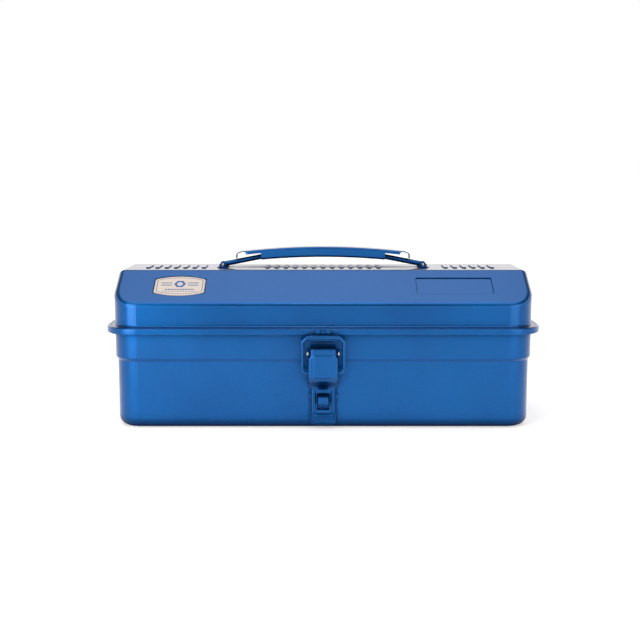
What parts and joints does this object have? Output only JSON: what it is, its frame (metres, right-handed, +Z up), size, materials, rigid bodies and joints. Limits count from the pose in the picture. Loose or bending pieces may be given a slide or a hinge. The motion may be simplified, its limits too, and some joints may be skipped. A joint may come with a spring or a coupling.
{
  "type": "metal tool box",
  "caption": "Small pressed-steel hand tool box with a hinged hip lid, a front draw latch with a padlock staple and a low folding grip on top.",
  "frame": {"origin": "centre of the tray's footprint, on the surface that it stands on", "axes": "+X along the box, -Y towards the latch, +Z up towards the grip"},
  "size_m": [0.359, 0.163, 0.1455],
  "materials": {
    "blue_enamel": "glossy blue stoving enamel with a fine metallic sparkle",
    "badge": null,
    "plated_steel": "bright zinc plate"
  },
  "bodies": {
    "tray": {"body_tray": "blue_enamel", "latch_base_plate": "blue_enamel", "latch_staple": "blue_enamel", "latch_base_rivets": "blue_enamel", "latch_lever_pin": "blue_enamel", "hinge_leaf_body_left": "blue_enamel", "hinge_leaf_body_right": "blue_enamel", "hinge_pin_left": "plated_steel", "hinge_pin_right": "plated_steel", "hinge_body_rivets": "blue_enamel"},
    "lid": {"lid_shell": "blue_enamel", "label_plate": "badge", "latch_hook": "blue_enamel", "latch_hook_rivets": "blue_enamel", "hinge_leaf_lid_left": "blue_enamel", "hinge_leaf_lid_right": "blue_enamel", "hinge_lid_rivets": "blue_enamel", "handle_bracket_left": "blue_enamel", "handle_bracket_right": "blue_enamel", "handle_foot_pin_left": "plated_steel", "handle_foot_pin_right": "plated_steel", "handle_bracket_rivets": "blue_enamel"},
    "lever": {"latch_lever": "blue_enamel"},
    "ring": {"latch_ring": "blue_enamel"},
    "grip": {"handle_grip": "blue_enamel"},
    "arm_left": {"handle_arm_left": "blue_enamel", "handle_slide_pin_left": "plated_steel"},
    "arm_right": {"handle_arm_right": "blue_enamel", "handle_slide_pin_right": "plated_steel"}
  },
  "joints": [
    {"name": "lid_hinge", "type": "hinge", "parent": "tray", "child": "lid", "pos_m": [0, 0.0779, 0.0798], "axis": [-1, 0, 0], "range_deg": [0, 105]},
    {"name": "lever_pivot", "type": "hinge", "parent": "tray", "child": "lever", "pos_m": [0, -0.0761, 0.0642], "axis": [-1, 0, 0], "range_deg": [0, 130]},
    {"name": "ring_pivot", "type": "hinge", "parent": "lever", "child": "ring", "pos_m": [0, -0.0777, 0.0488], "axis": [-1, 0, 0], "range_deg": [-170, 0]},
    {"name": "grip_lift", "type": "slide", "parent": "lid", "child": "grip", "axis": [0, 0, 1], "range_m": [0, 0.0222]},
    {"name": "arm_left_pivot", "type": "hinge", "parent": "lid", "child": "arm_left", "pos_m": [-0.087, 0, 0.13], "axis": [0, -1, 0], "range_deg": [0, 28.6]},
    {"name": "arm_right_pivot", "type": "hinge", "parent": "lid", "child": "arm_right", "pos_m": [0.087, 0, 0.13], "axis": [0, 1, 0], "range_deg": [0, 28.6]}
  ],
  "couplings": [
    {"joint": "ring_pivot", "follows": "lever_pivot", "ratio": -1.3},
    {"joint": "arm_left_pivot", "follows": "grip_lift", "rad_per_m": 22.4},
    {"joint": "arm_right_pivot", "follows": "grip_lift", "rad_per_m": 22.4}
  ]
}
